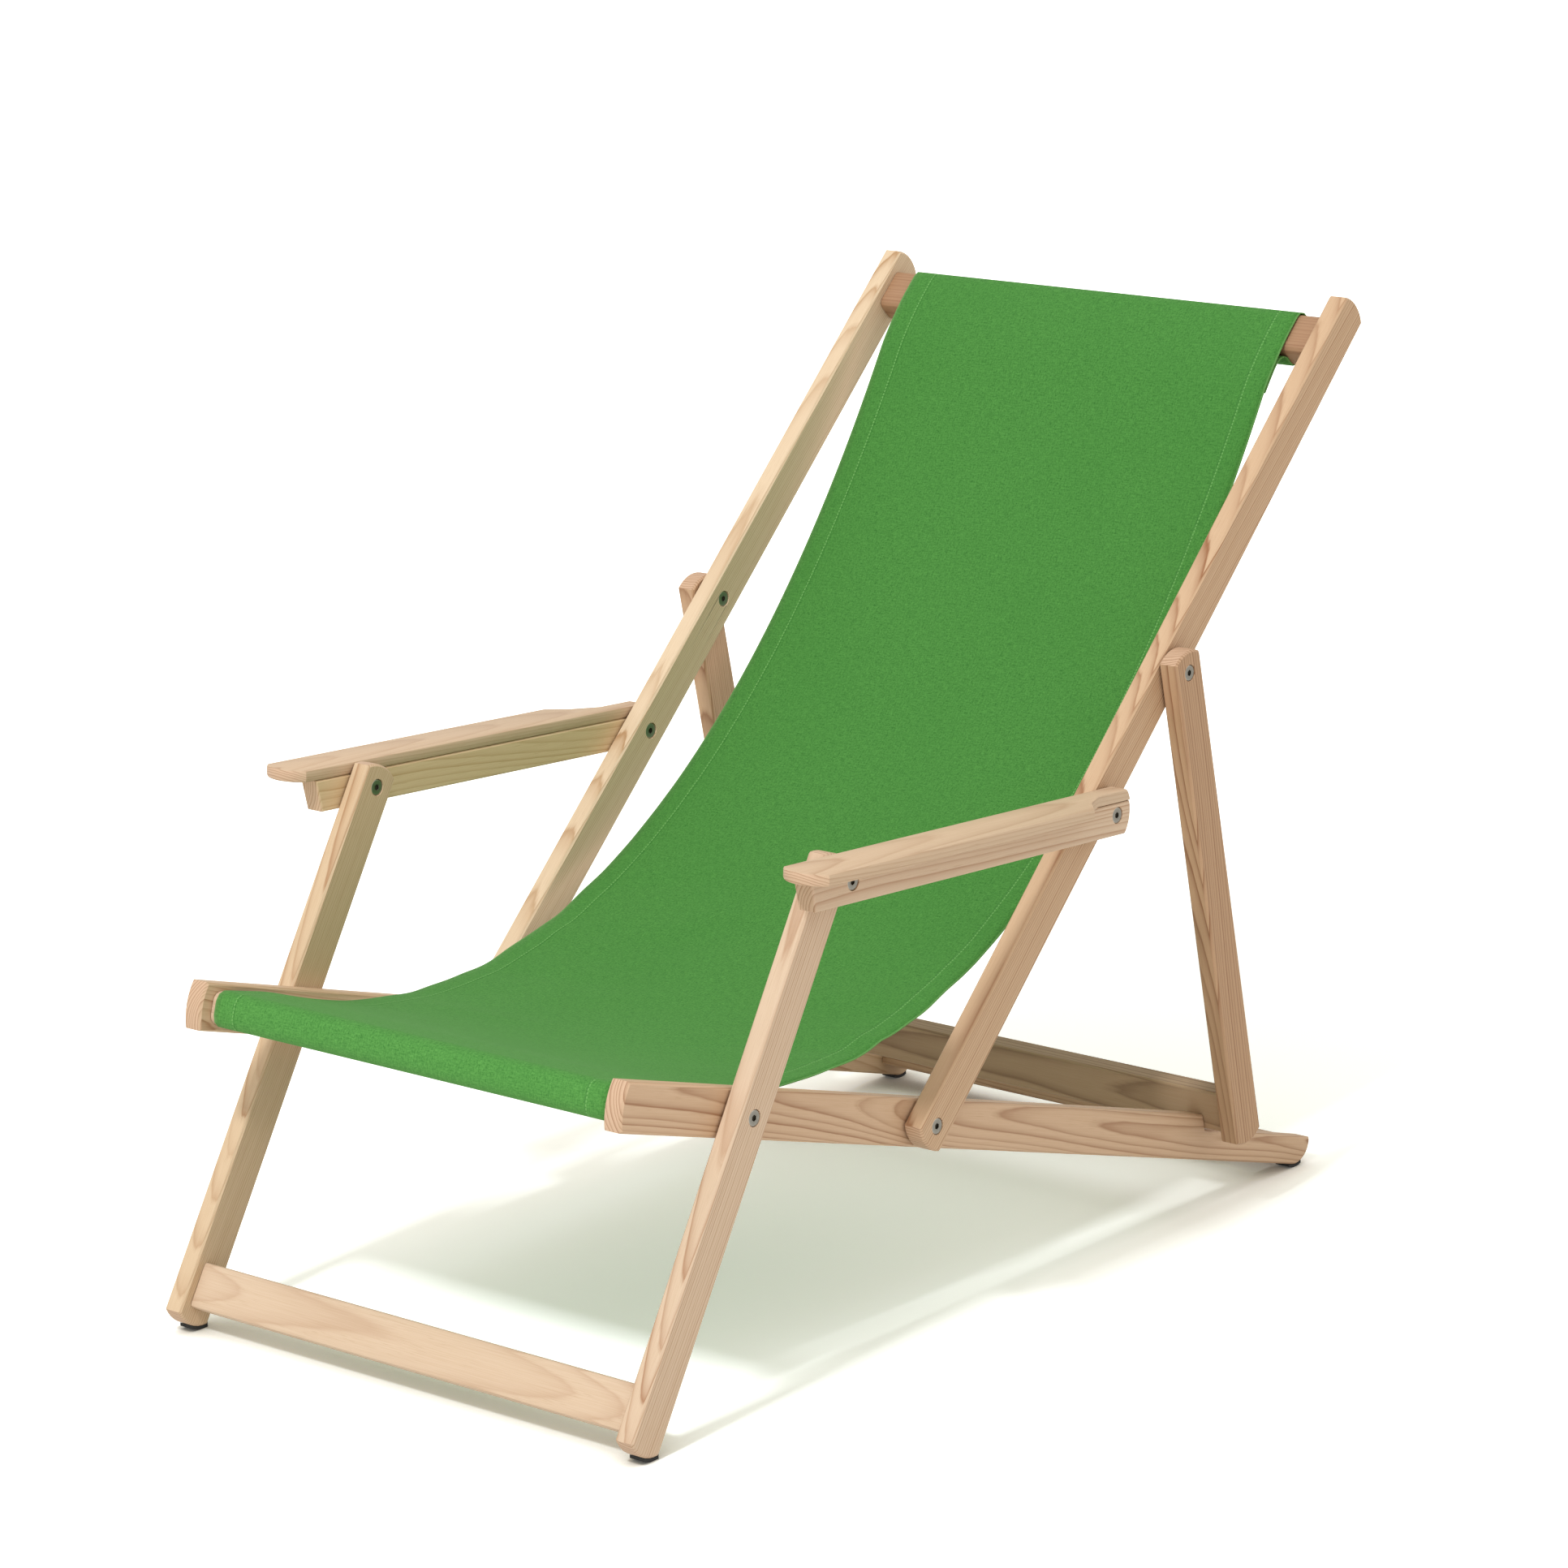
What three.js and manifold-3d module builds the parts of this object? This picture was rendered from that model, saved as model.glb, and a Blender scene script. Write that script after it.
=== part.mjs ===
// Folding deck chair: ash frame, cloth sling, four-bar armrest linkage, swinging prop frame.
// Millimetres, +Z up, front edge of the seat towards -Y, floor at z = 0, left-right symmetric about x = 0.
import * as THREE from "three";
import { mergeVertices } from "three/addons/utils/BufferGeometryUtils.js";
import Module from "manifold-3d";

const wasm = await Module();
wasm.setup();

// ---- driving dimensions -------------------------------------------------
const Y_MID = 528.61; // half the overall depth, so that y = 0 is the middle of the chair
// side view positions (y, z), measured before the shift by Y_MID
const PIVOT_LEG_SEAT = [151.24, 268.21];
const PIVOT_ARM_LEG = [260.23, 456.1];
const PIVOT_ARM_BACK = [645.87, 437.38];
const PIVOT_BACK_SEAT = [405.17, 197.61];
const PIVOT_PROP_BACK = [758.62, 549.7];
const SEAT_ANGLE = -15.75; // degrees, the seat rails slope down to the floor at the back
const LEG_ANGLE = 59.88;
const BACK_ANGLE = 44.89;
const ARM_ANGLE = -2.78;
const PROP_ANGLE = -77.3;
const EASE = 2; // eased long edges of every board
const END_RISE = 6.5; // bulge of a rounded rail end
const PIVOT_TO_CORNER = 14.5;

// three layers of rails side by side, thickness 20 with 1.6 between them
const LAYER = { seat: [236.8, 256.8], back: [258.4, 278.4], arm: [280, 300] };
const SIDE_GAP = 0.4;

const SEAT_RAIL = { half: 22, front: -147.5, bulge: 4, rear: 895.7 };
const STEP_TOP = [8.0, 6.0]; // height over the rail's middle line behind the step, at the step and at the rear end
const BACK_RAIL = { half: 20, length: 920 };
const LEG = { half: 20, foot: 294.5 };
const PROP_LEG = { half: 19.5, length: 484 };
const STRETCHER = { from: -285.8, to: -243.5, front: -10.8, thick: 19 };
const PROP_BAR = { from: 438.6, to: 481.4, half: 10 };
const REAR_BAR = { from: 861.8, to: 901, low: -11, high: 4.6 };
const TOP_BAR = { from: 860, to: 904, front: -11, back: 18, corner: 7 };
const SLING_BAR = { mid: [32.2, 302.0], deep: 29, tall: 30, corner: 9 };
const ARM = { under: -19, joint: 11.2, top: 22.3, front: -49.5, bevel: -58.5, board: -71, bow: 12, overhang: 30, cut: [308, 329, 356] };
const PAD = 3.2; // thickness of the floor glides

const HEAD_R = 7.5, HEAD_T = 3, SINK = 0.8, SOCKET_R = 2.9, SOCKET_DEEP = 2;
const BARREL_R = 4.3, BARREL_BORE = 3.1, SHANK_R = 2.8;
const HOLE_R = 4.7, COUNTER_R = 7.85, WASHER_R = 9, WASHER_T = 1;

const SLING_HALF = 231, CLOTH = 1.6;

// ---- materials ----------------------------------------------------------
const ash = new THREE.MeshStandardMaterial({ name: "ash_wood", color: 0xdcc3a0, roughness: 0.6, metalness: 0 });
const ashDark = new THREE.MeshStandardMaterial({ name: "ash_wood", color: 0xcfae87, roughness: 0.62, metalness: 0 });
const canvas = new THREE.MeshStandardMaterial({ name: "green_canvas", color: 0x4b9141, roughness: 0.85, metalness: 0 });
const steel = new THREE.MeshStandardMaterial({ name: "stainless_steel", color: 0xb9bcbd, roughness: 0.3, metalness: 1 });
const rubber = new THREE.MeshStandardMaterial({ name: "black_pad", color: 0x1b1b1b, roughness: 0.8, metalness: 0 });

// ---- solids -------------------------------------------------------------
const rad = (d) => (d * Math.PI) / 180;

const toSolid = (geometry) => {
  const g = geometry.clone();
  g.deleteAttribute("normal");
  g.deleteAttribute("uv");
  const m = mergeVertices(g, 1e-4);
  return new wasm.Manifold(new wasm.Mesh({
    numProp: 3,
    vertProperties: new Float32Array(m.attributes.position.array),
    triVerts: new Uint32Array(m.index.array),
  }));
};
const toGeometry = (solid) => {
  const m = solid.getMesh();
  const g = new THREE.BufferGeometry();
  g.setAttribute("position", new THREE.BufferAttribute(new Float32Array(m.vertProperties), 3));
  g.setIndex(new THREE.BufferAttribute(new Uint32Array(m.triVerts), 1));
  const flat = g.toNonIndexed();
  flat.computeVertexNormals();
  return flat;
};

// A side profile, points (y, z), given thickness from x0 to x1 with eased edges.
const slab = (points, x0, x1, ease = EASE) => {
  const shape = new THREE.Shape(points.map(([y, z]) => new THREE.Vector2(y, z)));
  const thick = x1 - x0;
  const g = new THREE.ExtrudeGeometry(shape, ease > 0
    ? { depth: thick - 2 * ease, bevelEnabled: true, bevelThickness: ease, bevelSize: ease, bevelOffset: -ease, bevelSegments: 1, steps: 1 }
    : { depth: thick, bevelEnabled: false, steps: 1 });
  g.translate(0, 0, x0 + (ease > 0 ? ease : 0));
  const m = new THREE.Matrix4().set(0, 0, 1, 0, 1, 0, 0, 0, 0, 1, 0, 0, 0, 0, 0, 1);
  return toSolid(g.applyMatrix4(m));
};
// Local rail coordinates: s along the rail from a point, p square to it (to the left of s).
const frameAt = ([y0, z0], angle) => {
  const c = Math.cos(rad(angle)), s = Math.sin(rad(angle));
  return ([a, p]) => [y0 + a * c - p * s, z0 + a * s + p * c];
};
const arc = (cx, cy, r, a0, a1, n) => Array.from({ length: n + 1 }, (_, i) => {
  const a = rad(a0 + ((a1 - a0) * i) / n);
  return [cx + r * Math.cos(a), cy + r * Math.sin(a)];
});
// A shallow rounded end between two corners at s = corner and p = -half .. half, bulging by rise away from the rail.
const endArc = (corner, half, rise, forward) => {
  const r = (half * half + rise * rise) / (2 * rise);
  const open = (Math.asin(half / r) * 180) / Math.PI;
  return forward ? arc(corner + rise - r, 0, r, -open, open, 8) : arc(corner - rise + r, 0, r, 180 - open, 180 + open, 8);
};
const railProfile = (from, to, half, rise0 = END_RISE, rise1 = END_RISE) => [
  ...endArc(to, half, rise1, true),
  ...endArc(from, half, rise0, false),
];
const roundedBox = (a0, a1, p0, p1, r, n = 3) => [
  ...arc(a1 - r, p1 - r, r, 0, 90, n), ...arc(a0 + r, p1 - r, r, 90, 180, n),
  ...arc(a0 + r, p0 + r, r, 180, 270, n), ...arc(a1 - r, p0 + r, r, 270, 360, n),
];
// A round bar along x.
const rod = (r, x0, x1, [y, z], segments = 16) => {
  const g = new THREE.CylinderGeometry(r, r, x1 - x0, segments);
  g.rotateZ(-Math.PI / 2);
  g.translate((x0 + x1) / 2, y, z);
  return toSolid(g);
};
const drill = (solid, x0, x1, at, headSide) => {
  let out = solid.subtract(rod(HOLE_R, x0 - 5, x1 + 5, at));
  if (headSide > 0) out = out.subtract(rod(COUNTER_R, x1 - HEAD_T - SINK - 0.3, x1 + 5, at, 20));
  if (headSide < 0) out = out.subtract(rod(COUNTER_R, x0 - 5, x0 + HEAD_T + SINK + 0.3, at, 20));
  return out;
};
// A turned part: profile (radius, height) pairs, closed on itself or starting and ending on the axis, laid along x.
const turned = (profile, [y, z], x0, flip, segments = 16) => {
  const g = new THREE.LatheGeometry(profile.map(([r, h]) => new THREE.Vector2(r, h)), segments);
  g.deleteAttribute("normal");
  g.deleteAttribute("uv");
  const m = new THREE.Matrix4().makeRotationZ(flip ? Math.PI / 2 : -Math.PI / 2);
  g.applyMatrix4(m);
  g.translate(x0, y, z);
  return toSolid(dropThin(g));
};
const dropThin = (g) => {
  const m = mergeVertices(g, 1e-4);
  const idx = m.index.array, pos = m.attributes.position, keep = [];
  const v = (i) => new THREE.Vector3().fromBufferAttribute(pos, i);
  for (let i = 0; i < idx.length; i += 3) {
    const [a, b, c] = [idx[i], idx[i + 1], idx[i + 2]];
    if (a === b || b === c || a === c) continue;
    const n = v(b).sub(v(a)).cross(v(c).sub(v(a)));
    if (n.length() < 1e-9) continue;
    keep.push(a, b, c);
  }
  m.setIndex(keep);
  return m;
};
const socket = (solid, x0, x1, at) => {
  const g = new THREE.CylinderGeometry(SOCKET_R, SOCKET_R, x1 - x0, 6);
  g.rotateZ(-Math.PI / 2);
  g.translate((x0 + x1) / 2, at[0], at[1]);
  return solid.subtract(toSolid(g));
};

const group = new THREE.Group();
group.name = "folding_deck_chair";
const mirrorX = new THREE.Matrix4().makeScale(-1, 1, 1);

const add = (name, solid, material) => {
  const g = toGeometry(solid);
  g.translate(0, -Y_MID, 0);
  const mesh = new THREE.Mesh(g, material);
  mesh.name = name;
  group.add(mesh);
};
// The same solid on both sides: right at +x, left at -x.
const addPair = (name, solid, material) => {
  add(name + "_right", solid, material);
  const g = toGeometry(solid).applyMatrix4(mirrorX);
  const p = g.getAttribute("position").array;
  for (let i = 0; i < p.length; i += 9) for (let k = 0; k < 3; k++) [p[i + 3 + k], p[i + 6 + k]] = [p[i + 6 + k], p[i + 3 + k]];
  g.computeVertexNormals();
  g.translate(0, -Y_MID, 0);
  const mesh = new THREE.Mesh(g, material);
  mesh.name = name + "_left";
  group.add(mesh);
};

// ---- seat frame ---------------------------------------------------------
const seat = frameAt(PIVOT_LEG_SEAT, SEAT_ANGLE);
const prop = frameAt(PIVOT_PROP_BACK, PROP_ANGLE);
const seatLocal = ([y, z]) => {
  const c = Math.cos(rad(SEAT_ANGLE)), s = Math.sin(rad(SEAT_ANGLE));
  const dy = y - PIVOT_LEG_SEAT[0], dz = z - PIVOT_LEG_SEAT[1];
  return [dy * c + dz * s, -dy * s + dz * c];
};
// the stop face lies against the front face of the prop crossbar
const stopA = seatLocal(prop([PROP_BAR.from, -PROP_BAR.half - 0.4]));
const stopB = seatLocal(prop([PROP_BAR.to, -PROP_BAR.half - 0.4]));
const onStop = (p) => stopA[0] + ((stopB[0] - stopA[0]) * (p - stopA[1])) / (stopB[1] - stopA[1]);
const SR = SEAT_RAIL, H = SR.half;
const endTop = (Math.asin(STEP_TOP[1] / H) * 180) / Math.PI;
const seatProfile = [
  ...arc(SR.rear, 0, H, -90, endTop, 8),
  [onStop(STEP_TOP[0]), STEP_TOP[0]],
  [onStop(H), H],
  ...endArc(SR.front, H, SR.bulge, false),
].map(seat);
const [s0, s1] = LAYER.seat, [b0, b1] = LAYER.back, [a0, a1] = LAYER.arm;
let seatRail = slab(seatProfile, s0, s1);
seatRail = drill(seatRail, s0, s1, PIVOT_LEG_SEAT, -1);
seatRail = drill(seatRail, s0, s1, PIVOT_BACK_SEAT, -1);
addPair("seat_rail", seatRail, ash);

const barTilt = frameAt(SLING_BAR.mid, SEAT_ANGLE);
add("sling_bar_front", slab(roundedBox(-SLING_BAR.deep / 2, SLING_BAR.deep / 2, -SLING_BAR.tall / 2, SLING_BAR.tall / 2, SLING_BAR.corner, 4).map(barTilt), -s0 + SIDE_GAP, s0 - SIDE_GAP, 0), ash);
add("rear_crossbar", slab(roundedBox(REAR_BAR.from, REAR_BAR.to, REAR_BAR.low, REAR_BAR.high, 3, 2).map(seat), -s0 + SIDE_GAP, s0 - SIDE_GAP, 0), ash);

// ---- back frame ---------------------------------------------------------
const back = frameAt(PIVOT_BACK_SEAT, BACK_ANGLE);
let backRail = slab(railProfile(-PIVOT_TO_CORNER, BACK_RAIL.length, BACK_RAIL.half).map(back), b0, b1);
backRail = drill(backRail, b0, b1, PIVOT_BACK_SEAT, 1);
backRail = drill(backRail, b0, b1, PIVOT_ARM_BACK, -1);
backRail = drill(backRail, b0, b1, PIVOT_PROP_BACK, -1);
addPair("back_rail", backRail, ash);
// p grows towards the front of the back rest, so the rearward face is at -back
add("top_crossbar", slab(roundedBox(TOP_BAR.from, TOP_BAR.to, -TOP_BAR.back, -TOP_BAR.front, TOP_BAR.corner, 3).map(back), -b0 + SIDE_GAP, b0 - SIDE_GAP, 0), ash);

// ---- front legs ---------------------------------------------------------
const leg = frameAt(PIVOT_LEG_SEAT, LEG_ANGLE);
const legLength = Math.hypot(PIVOT_ARM_LEG[0] - PIVOT_LEG_SEAT[0], PIVOT_ARM_LEG[1] - PIVOT_LEG_SEAT[1]);
const legProfile = (grow = 0) => railProfile(-LEG.foot - grow, legLength + PIVOT_TO_CORNER + grow, LEG.half + grow).map(leg);
let legRail = slab(legProfile(), b0, b1);
legRail = drill(legRail, b0, b1, PIVOT_LEG_SEAT, 1);
legRail = drill(legRail, b0, b1, PIVOT_ARM_LEG, -1);
addPair("front_leg", legRail, ash);
add("front_stretcher", slab(roundedBox(STRETCHER.from, STRETCHER.to, -STRETCHER.front - STRETCHER.thick, -STRETCHER.front, 3, 2).map(leg), -b0 + SIDE_GAP, b0 - SIDE_GAP, 0), ashDark);

// ---- armrests -----------------------------------------------------------
const arm = frameAt(PIVOT_ARM_LEG, ARM_ANGLE);
const armLength = Math.hypot(PIVOT_ARM_BACK[0] - PIVOT_ARM_LEG[0], PIVOT_ARM_BACK[1] - PIVOT_ARM_LEG[1]);
const tail = endArc(armLength + PIVOT_TO_CORNER - 1, 20.6, 6.8, true).map(([s, p]) => [s, p + 1.65]);
const armSide = [...tail, [-90, ARM.top + 0.01], [-90, ARM.under]].map(([s, p]) => [s, Math.min(p, ARM.top)]);
const railSide = [...tail.filter(([, p]) => p < ARM.joint - 0.3)];
const tailAt = (p) => { // where the rounded end crosses a height
  for (let i = 1; i < tail.length; i++) if (tail[i][1] >= p) {
    const [u, v] = [tail[i - 1], tail[i]];
    return u[0] + ((v[0] - u[0]) * (p - u[1])) / (v[1] - u[1]);
  }
  return tail[tail.length - 1][0];
};
const railPoints = [...railSide, [tailAt(ARM.joint - 0.15), ARM.joint - 0.15], [ARM.bevel, ARM.joint - 0.15], [ARM.front, ARM.under]];
let armRail = slab(railPoints.map(arm), a0, a1, 1.5);
armRail = drill(armRail, a0, a1, PIVOT_ARM_LEG, 1);
armRail = drill(armRail, a0, a1, PIVOT_ARM_BACK, 1);
addPair("armrest_rail", armRail, ash);
// the board in plan, (x, s), with a bow front and the overhang cut back near the rear pivot
const boardHalf = (ARM.overhang + 20) / 2;
const bowR = (boardHalf * boardHalf + ARM.bow * ARM.bow) / (2 * ARM.bow);
const bowOpen = (Math.asin(boardHalf / bowR) * 180) / Math.PI;
const bow = arc(a0 + boardHalf, ARM.board - ARM.bow + bowR, bowR, 270 - bowOpen, 270 + bowOpen, 12);
const plan = [
  ...bow, [a1 + ARM.overhang, ARM.cut[0]], [a1 + 12, ARM.cut[1]], [a1, ARM.cut[2]], [a1, armLength + 40], [a0, armLength + 40],
];
const boardThick = ARM.top - ARM.joint - 0.15;
const planShape = new THREE.Shape(plan.map(([x, s]) => new THREE.Vector2(x, s)));
const boardGeometry = new THREE.ExtrudeGeometry(planShape, { depth: boardThick - 4, bevelEnabled: true, bevelThickness: 2, bevelSize: 2, bevelOffset: -2, bevelSegments: 2, steps: 1 });
boardGeometry.translate(0, 0, ARM.joint + 0.15 + 2);
const cosA = Math.cos(rad(ARM_ANGLE)), sinA = Math.sin(rad(ARM_ANGLE));
boardGeometry.applyMatrix4(new THREE.Matrix4().set(1, 0, 0, 0, 0, cosA, -sinA, PIVOT_ARM_LEG[0], 0, sinA, cosA, PIVOT_ARM_LEG[1], 0, 0, 0, 1));
let board = toSolid(boardGeometry).intersect(slab([...tail, [-200, 60], [-200, -60]].map(arm), a0 - 5, a1 + 60, 0));
addPair("armrest_board", board, ash);

// ---- prop frame ---------------------------------------------------------
let propLeg = slab(railProfile(-PIVOT_TO_CORNER, PROP_LEG.length, PROP_LEG.half).map(prop), a0, a1);
propLeg = drill(propLeg, a0, a1, PIVOT_PROP_BACK, 1);
addPair("prop_leg", propLeg, ash);
add("prop_crossbar", slab(roundedBox(PROP_BAR.from, PROP_BAR.to, -PROP_BAR.half, PROP_BAR.half, 2, 1).map(prop), -a0 + SIDE_GAP, a0 - SIDE_GAP, 0), ashDark);

// ---- fasteners: a socket screw on the outer face, a sleeve nut on the inner face, a washer between the rails
const CAP_EDGE = 0.5;
const screw = (outer, tip, at) => { // head at outer - SINK, shank down to x = tip
  const x = outer - SINK;
  const L = x - tip;
  const body = turned([[0, -L], [SHANK_R - 0.4, -L], [SHANK_R, -L + 0.6], [SHANK_R, -HEAD_T], [HEAD_R, -HEAD_T], [HEAD_R, -CAP_EDGE], [HEAD_R - CAP_EDGE, 0], [0, 0]], at, x, false);
  return socket(body, x - SOCKET_DEEP, x + 5, at);
};
const sleeve = (inner, tip, at) => { // head at inner + SINK, barrel up to x = tip, bored from the tip
  const x = inner + SINK;
  const L = tip - x;
  const body = turned([[0, 0], [HEAD_R - CAP_EDGE, 0], [HEAD_R, CAP_EDGE], [HEAD_R, HEAD_T], [BARREL_R, HEAD_T], [BARREL_R, L], [BARREL_BORE, L], [BARREL_BORE, HEAD_T + 0.6], [0, HEAD_T + 0.6]], at, x, false);
  return socket(body, x - 5, x + SOCKET_DEEP, at);
};
const washer = (between, at) => {
  const x0 = between + 0.3;
  return rod(WASHER_R, x0, x0 + WASHER_T, at, 20).subtract(rod(HOLE_R + 0.2, x0 - 1, x0 + WASHER_T + 1, at, 16));
};
const pivot = (name, inner, outer, at, crossing = true) => {
  const [i0, i1] = inner, [o0, o1] = outer;
  addPair(name + "_screw", screw(o1, crossing ? i0 + 7 : o0 + 0.4, at), steel);
  addPair(name + "_nut", sleeve(i0, crossing ? o1 - HEAD_T - 2.5 : i1 - 0.4, at), steel);
  addPair(name + "_washer", washer(i1, at), steel);
};
pivot("leg_seat", LAYER.seat, LAYER.back, PIVOT_LEG_SEAT);
pivot("back_seat", LAYER.seat, LAYER.back, PIVOT_BACK_SEAT);
pivot("arm_leg", LAYER.back, LAYER.arm, PIVOT_ARM_LEG, false);
pivot("arm_back", LAYER.back, LAYER.arm, PIVOT_ARM_BACK);
pivot("prop_back", LAYER.back, LAYER.arm, PIVOT_PROP_BACK);

// ---- floor pads ---------------------------------------------------------
// thin glides under the lowest part of each rounded end, following it at a small gap
const padBlock = (y0, y1, x0, x1) => slab([[y0, 0], [y1, 0], [y1, 12], [y0, 12]], x0, x1, 0);
const seatEnd = (grow) => [
  ...arc(SR.rear, 0, H + grow, -90, 60, 16), [SR.rear - 120, H], [SR.rear - 120, -H - grow],
].map(seat);
const glide = (name, outline, y0, y1, x0, x1) => addPair(name,
  slab(outline(PAD), x0, x1, 0).intersect(padBlock(y0, y1, x0 - 1, x1 + 1)).subtract(slab(outline(0.3), x0 - 5, x1 + 5, 0)), rubber);
const [padY] = seat([SR.rear, 0]);
glide("seat_pad", seatEnd, padY - 11, padY + 9, s0 + 2, s1 - 2);
const [footY] = leg([-LEG.foot - END_RISE, 0]);
glide("leg_pad", legProfile, footY + 3, footY + 22, b0 + 2, b1 - 2);

// ---- sling --------------------------------------------------------------
// middle line of the cloth in the side view, from the hem under the seat, round the front bar, over seat and back, round the top bar to the hem behind
const HB = SLING_BAR, off = CLOTH / 2 + 0.9;
const frontWrap = [
  ...arc(-HB.deep / 2 + HB.corner, -HB.tall / 2 + HB.corner, HB.corner + off, 270, 180, 5),
  ...arc(-HB.deep / 2 + HB.corner, HB.tall / 2 - HB.corner, HB.corner + off, 180, 90, 5),
].map(barTilt);
const seatLine = [[54.4, 312.6], [80, 306.5], [112, 298.2], [149.0, 289.0], [205, 275.4], [259.7, 265.4], [310, 264.2], [354.7, 267.1], [405, 275.5], [455, 288.7], [506.3, 306.2], [563.7, 334.4], [634.3, 381.4], [694.1, 430.4], [760, 492], [830.0, 568.5], [878, 631]];
const TB = TOP_BAR;
const topFront = -TB.front + off + 0.6;
const upper = [[748, -3.5], [790, 3.6], [832, 9.6], [TB.from + TB.corner, topFront]].map(back);
const topWrap = [
  ...arc(TB.to - TB.corner, -TB.front - TB.corner, TB.corner + off + 0.6, 90, 0, 4),
  ...arc(TB.to - TB.corner, -TB.back + TB.corner, TB.corner + off + 0.6, 0, -90, 4),
  ...arc(TB.from + TB.corner, -TB.back + TB.corner, TB.corner + off, 270, 180, 4),
  [TB.from - off, -1], [TB.from - off - 3, 3.4], [TB.from - off - 12, 7.6], [832, 6.6], [815, 4.2],
].map(back);
const hemTail = [[92, 300.2], [75, 303.6], [62, 300.5], [50, 291.5]];
const bottomRun = [[9, -HB.tall / 2 - off]].map(barTilt);
const middle = new THREE.CatmullRomCurve3([...seatLine, ...upper].map(([y, z]) => new THREE.Vector3(0, y, z)), false, "centripetal")
  .getSpacedPoints(44).map((v) => [v.y, v.z]);
const line = [...hemTail, ...bottomRun, ...frontWrap, ...middle, ...topWrap];
const side = (sign) => line.map((pt, i) => {
  const a = line[Math.max(0, i - 1)], b = line[Math.min(line.length - 1, i + 1)];
  const dy = b[0] - a[0], dz = b[1] - a[1], l = Math.hypot(dy, dz);
  return [pt[0] - (sign * dz * CLOTH) / 2 / l, pt[1] + (sign * dy * CLOTH) / 2 / l];
});
add("sling", slab([...side(1), ...side(-1).reverse()].reverse(), -SLING_HALF, SLING_HALF, 0), canvas);

export default group;
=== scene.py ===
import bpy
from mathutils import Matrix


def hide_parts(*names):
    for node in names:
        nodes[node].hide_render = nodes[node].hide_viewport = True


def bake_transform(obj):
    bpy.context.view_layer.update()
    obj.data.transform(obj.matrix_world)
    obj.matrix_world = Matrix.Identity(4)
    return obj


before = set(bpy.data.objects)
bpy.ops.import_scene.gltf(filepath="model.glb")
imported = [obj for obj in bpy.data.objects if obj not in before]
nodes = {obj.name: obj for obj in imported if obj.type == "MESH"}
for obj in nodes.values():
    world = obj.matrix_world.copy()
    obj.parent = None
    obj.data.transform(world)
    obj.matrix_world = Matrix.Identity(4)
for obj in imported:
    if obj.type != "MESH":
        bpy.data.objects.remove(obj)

import math
import random

import bpy
import numpy as np
from mathutils import Matrix, Vector

random.seed(11)
rng = np.random.default_rng(11)
scene = bpy.context.scene
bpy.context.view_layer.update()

# ---- where things are, in metres, side view (y, z) ------------------------------------------------
Y_MID = 0.52861


def P(y, z):
    return (y / 1000 - Y_MID, z / 1000)


B1, B2, B3, B4, B5 = P(151.24, 268.21), P(260.23, 456.1), P(645.87, 437.38), P(405.17, 197.61), P(758.62, 549.7)
SEAT, LEG, BACK, ARM, PROP = -15.75, 59.88, 44.89, -2.78, -77.3


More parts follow.
